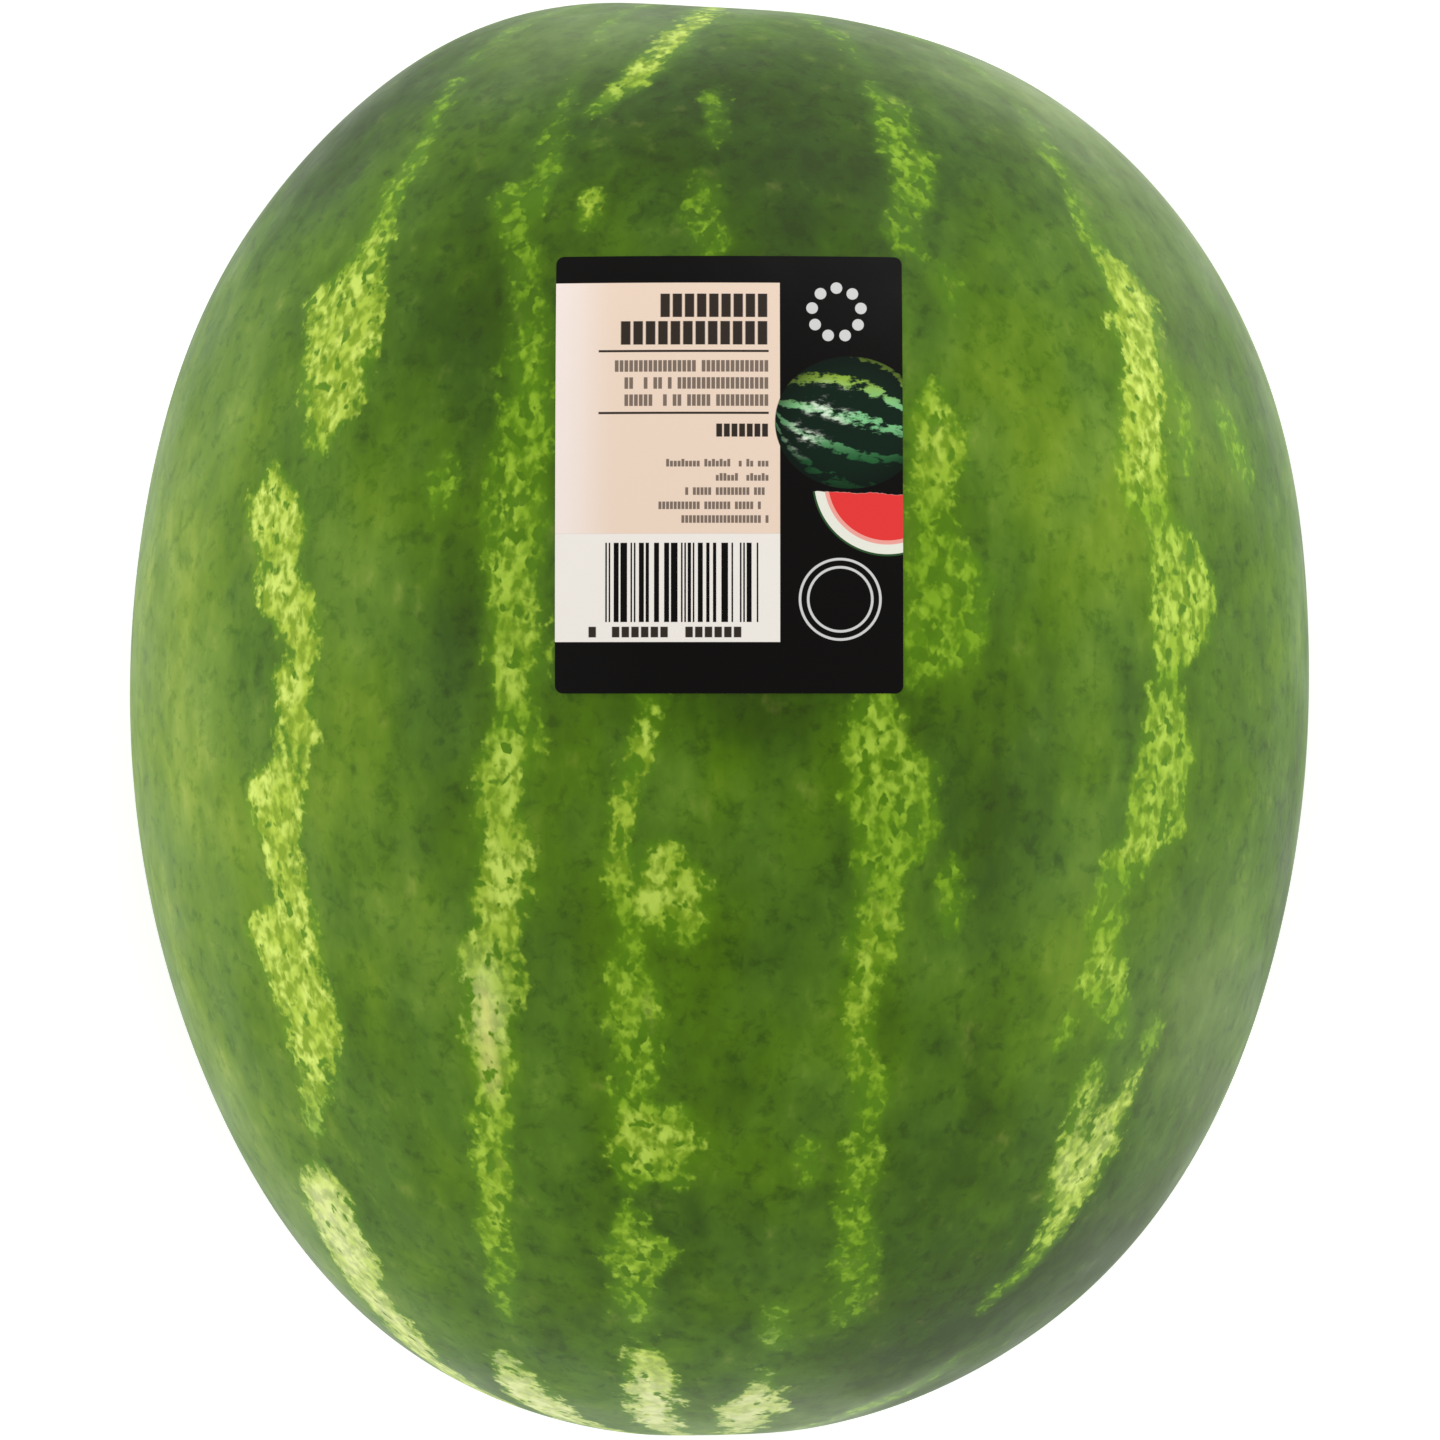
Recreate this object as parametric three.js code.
// A whole, slightly oblong watermelon lying on its side, with a printed paper label stuck on top.
//
// Millimetres, +Z up. The long axis of the fruit lies along Y, with the stem end at +Y.
// The origin is the middle of the fruit's box, at the level of the flat spot that it rests on.

import * as THREE from 'three';

// ---------------------------------------------------------------- driving dimensions

// Half sizes of the plain ellipsoid that the rind is drawn from.
const HALF_WIDTH = 122;
const HALF_LENGTH = 149.5;
const HALF_HEIGHT = 119.6;

// Rings of fuller or flatter rind round the long axis.
// angle: degrees from the stem end; spread: how far the ring fades; height: share of the radius.
const RINGS = [
  { name: 'stem dimple', angle: 0, spread: 15, height: -0.024 },
  { name: 'stem shoulder', angle: 45, spread: 24, height: 0.043 },
  { name: 'blossom shoulder', angle: 142, spread: 20, height: 0.014 },
  { name: 'blossom dimple', angle: 180, spread: 9, height: -0.004 },
];

// Single swells where one side of the fruit grew fuller.
// turn: degrees clockwise from the stem end, seen from above; lift: degrees above the horizontal.
const SWELLS = [
  { name: 'left of the stem', turn: 341, lift: 4, spread: 15, height: 0.027 },
  { name: 'flat beside the stem', turn: 14, lift: 0, spread: 9, height: -0.008 },
  { name: 'right flank', turn: 65, lift: 0, spread: 16, height: 0.014 },
  { name: 'left of the blossom', turn: 206, lift: 0, spread: 19, height: 0.018 },
];

// The rind is a net of flat facets: columns round the long axis, rows from end to end.
const COLUMNS = 80;
const ROWS = 44;

// How much of the underside is flattened where the fruit rests on the ground.
const REST_FLAT_DEPTH = 1.7;

// The label, as seen from straight above.
const LABEL_WIDTH = 68.4;
const LABEL_LENGTH = 86.6;
const LABEL_CENTRE_X = 1.9;
const LABEL_CENTRE_Y = 47.3;
const LABEL_CORNER = 1.6;
const LABEL_THICKNESS = 0.6;
const LABEL_GAP = 0.3;
const LABEL_COLUMNS = 10;
const LABEL_ROWS = 12;
const LABEL_CORNER_ROWS = 2;

const RIND_GREEN = 0x4a7a26;
const LABEL_BLACK = 0x1c1815;

// ---------------------------------------------------------------- the shape of the rind

const toRadians = THREE.MathUtils.degToRad;
const STEM_AXIS = new THREE.Vector3(0, 1, 0);

/** A smooth bell: 1 at the middle, fading out over `spread` degrees. */
function bell(angle, spread) {
  return Math.exp(-((angle / toRadians(spread)) ** 2));
}

/** The unit vector that points `turn` degrees clockwise from the stem end and `lift` degrees up. */
function heading(turn, lift) {
  const flat = Math.cos(toRadians(lift));
  return new THREE.Vector3(
    Math.sin(toRadians(turn)) * flat,
    Math.cos(toRadians(turn)) * flat,
    Math.sin(toRadians(lift)),
  );
}

const swellHeadings = SWELLS.map((swell) => heading(swell.turn, swell.lift));

/** Distance from the fruit's middle to its skin along a unit vector. */
function rindRadius(direction) {
  const ellipsoid = 1 / Math.hypot(
    direction.x / HALF_WIDTH,
    direction.y / HALF_LENGTH,
    direction.z / HALF_HEIGHT,
  );
  const fromStem = direction.angleTo(STEM_AXIS);
  let fullness = 1;
  for (const ring of RINGS) {
    fullness += ring.height * bell(fromStem - toRadians(ring.angle), ring.spread);
  }
  SWELLS.forEach((swell, index) => {
    fullness += swell.height * bell(direction.angleTo(swellHeadings[index]), swell.spread);
  });
  return ellipsoid * fullness;
}

/** The point of the skin along a heading from the fruit's middle. */
function rindPoint(direction) {
  const unit = direction.clone().normalize();
  return unit.multiplyScalar(rindRadius(unit));
}

/** The outward direction of the skin along a heading, from two short steps over the surface. */
function rindNormal(direction) {
  const step = 0.01;
  const unit = direction.clone().normalize();
  const sideways = new THREE.Vector3(0, 0, 1).cross(unit).normalize();
  const along = unit.clone().cross(sideways);
  const here = rindPoint(unit);
  const acrossStep = rindPoint(unit.clone().addScaledVector(sideways, step)).sub(here);
  const alongStep = rindPoint(unit.clone().addScaledVector(along, step)).sub(here);
  return acrossStep.cross(alongStep).normalize();
}

/** A closed mesh from a list of points and a list of triangles. */
function facetedSolid(points, triangles) {
  const geometry = new THREE.BufferGeometry();
  geometry.setAttribute(
    'position',
    new THREE.Float32BufferAttribute(points.flatMap((point) => point.toArray()), 3),
  );
  geometry.setIndex(triangles.flat());
  geometry.computeVertexNormals();
  return geometry;
}

// ---------------------------------------------------------------- the fruit

/** The skin as a net of points with a pole at each end, with the underside pressed flat. */
function makeFruit(restLevel) {
  const points = [rindPoint(STEM_AXIS)];
  for (let row = 1; row < ROWS; row += 1) {
    const fromStem = (Math.PI * row) / ROWS;
    for (let column = 0; column < COLUMNS; column += 1) {
      const around = (2 * Math.PI * column) / COLUMNS;
      points.push(rindPoint(new THREE.Vector3(
        Math.sin(fromStem) * Math.sin(around),
        Math.cos(fromStem),
        Math.sin(fromStem) * Math.cos(around),
      )));
    }
  }
  points.push(rindPoint(STEM_AXIS.clone().negate()));
  for (const point of points) {
    point.z = Math.max(point.z, restLevel);
  }

  const at = (row, column) => 1 + (row - 1) * COLUMNS + (column % COLUMNS);
  const triangles = [];
  for (let column = 0; column < COLUMNS; column += 1) {
    triangles.push([0, at(1, column), at(1, column + 1)]);
    for (let row = 1; row < ROWS - 1; row += 1) {
      triangles.push([at(row, column), at(row + 1, column), at(row + 1, column + 1)]);
      triangles.push([at(row, column), at(row + 1, column + 1), at(row, column + 1)]);
    }
    triangles.push([at(ROWS - 1, column), points.length - 1, at(ROWS - 1, column + 1)]);
  }
  return facetedSolid(points, triangles);
}

// ---------------------------------------------------------------- the label

/** Heading of the skin point straight above or below a point of the plan. */
function headingOver(x, y) {
  const heading = new THREE.Vector3(x, y, HALF_HEIGHT);
  for (let pass = 0; pass < 8; pass += 1) {
    const radius = rindRadius(heading.clone().normalize());
    heading.z = Math.sqrt(radius ** 2 - x ** 2 - y ** 2);
  }
  return heading;
}

/** How far each row of the label lies from its near end, with rows close together at the corners. */
function labelRowDistances() {
  const distances = [];
  for (let row = 0; row < LABEL_CORNER_ROWS; row += 1) {
    const turn = (Math.PI / 2) * (row / LABEL_CORNER_ROWS);
    distances.push(LABEL_CORNER * (1 - Math.cos(turn)));
  }
  const straight = LABEL_LENGTH - 2 * LABEL_CORNER;
  for (let row = 0; row <= LABEL_ROWS; row += 1) {
    distances.push(LABEL_CORNER + (straight * row) / LABEL_ROWS);
  }
  const farCorner = distances.slice(0, LABEL_CORNER_ROWS).reverse();
  return distances.concat(farCorner.map((distance) => LABEL_LENGTH - distance));
}

/** Half the label's width at a distance from its near end: less where the corners are rounded. */
function labelHalfWidth(distance) {
  const fromEnd = Math.min(distance, LABEL_LENGTH - distance);
  const intoCorner = Math.max(LABEL_CORNER - fromEnd, 0);
  return LABEL_WIDTH / 2 - LABEL_CORNER + Math.sqrt(LABEL_CORNER ** 2 - intoCorner ** 2);
}

/** A thin sheet with rounded corners that follows the skin just above it. */
function makeLabel() {
  const distances = labelRowDistances();
  const underside = [];
  const face = [];
  for (const distance of distances) {
    for (let column = 0; column <= LABEL_COLUMNS; column += 1) {
      const across = (2 * column) / LABEL_COLUMNS - 1;
      const direction = headingOver(
        LABEL_CENTRE_X + across * labelHalfWidth(distance),
        LABEL_CENTRE_Y - LABEL_LENGTH / 2 + distance,
      );
      const skin = rindPoint(direction);
      const outward = rindNormal(direction);
      underside.push(skin.clone().addScaledVector(outward, LABEL_GAP));
      face.push(skin.clone().addScaledVector(outward, LABEL_GAP + LABEL_THICKNESS));
    }
  }

  const lastRow = distances.length - 1;
  const low = (row, column) => row * (LABEL_COLUMNS + 1) + column;
  const high = (row, column) => underside.length + low(row, column);
  const triangles = [];
  const addQuad = (a, b, c, d) => triangles.push([a, b, c], [a, c, d]);
  for (let row = 0; row < lastRow; row += 1) {
    for (let column = 0; column < LABEL_COLUMNS; column += 1) {
      addQuad(high(row, column), high(row, column + 1), high(row + 1, column + 1), high(row + 1, column));
      addQuad(low(row, column), low(row + 1, column), low(row + 1, column + 1), low(row, column + 1));
    }
    addQuad(low(row, 0), high(row, 0), high(row + 1, 0), low(row + 1, 0));
    addQuad(high(row, LABEL_COLUMNS), low(row, LABEL_COLUMNS), low(row + 1, LABEL_COLUMNS), high(row + 1, LABEL_COLUMNS));
  }
  for (let column = 0; column < LABEL_COLUMNS; column += 1) {
    addQuad(low(0, column), low(0, column + 1), high(0, column + 1), high(0, column));
    addQuad(high(lastRow, column), high(lastRow, column + 1), low(lastRow, column + 1), low(lastRow, column));
  }
  return facetedSolid(underside.concat(face), triangles);
}

// ---------------------------------------------------------------- putting it together

const restLevel = REST_FLAT_DEPTH - HALF_HEIGHT;

const rind = new THREE.MeshStandardMaterial({ color: RIND_GREEN, roughness: 0.42, metalness: 0 });
const fruit = new THREE.Mesh(makeFruit(restLevel), rind);
fruit.name = 'fruit';

const print = new THREE.MeshStandardMaterial({ color: LABEL_BLACK, roughness: 0.35, metalness: 0 });
const label = new THREE.Mesh(makeLabel(), print);
label.name = 'label';

// The swells are uneven, so the fruit's box is centred on the origin afterwards.
const group = new THREE.Group();
group.name = 'watermelon';
group.add(fruit, label);
fruit.geometry.computeBoundingBox();
const middle = fruit.geometry.boundingBox.getCenter(new THREE.Vector3());
group.position.set(-middle.x, -middle.y, -restLevel);

export default group;
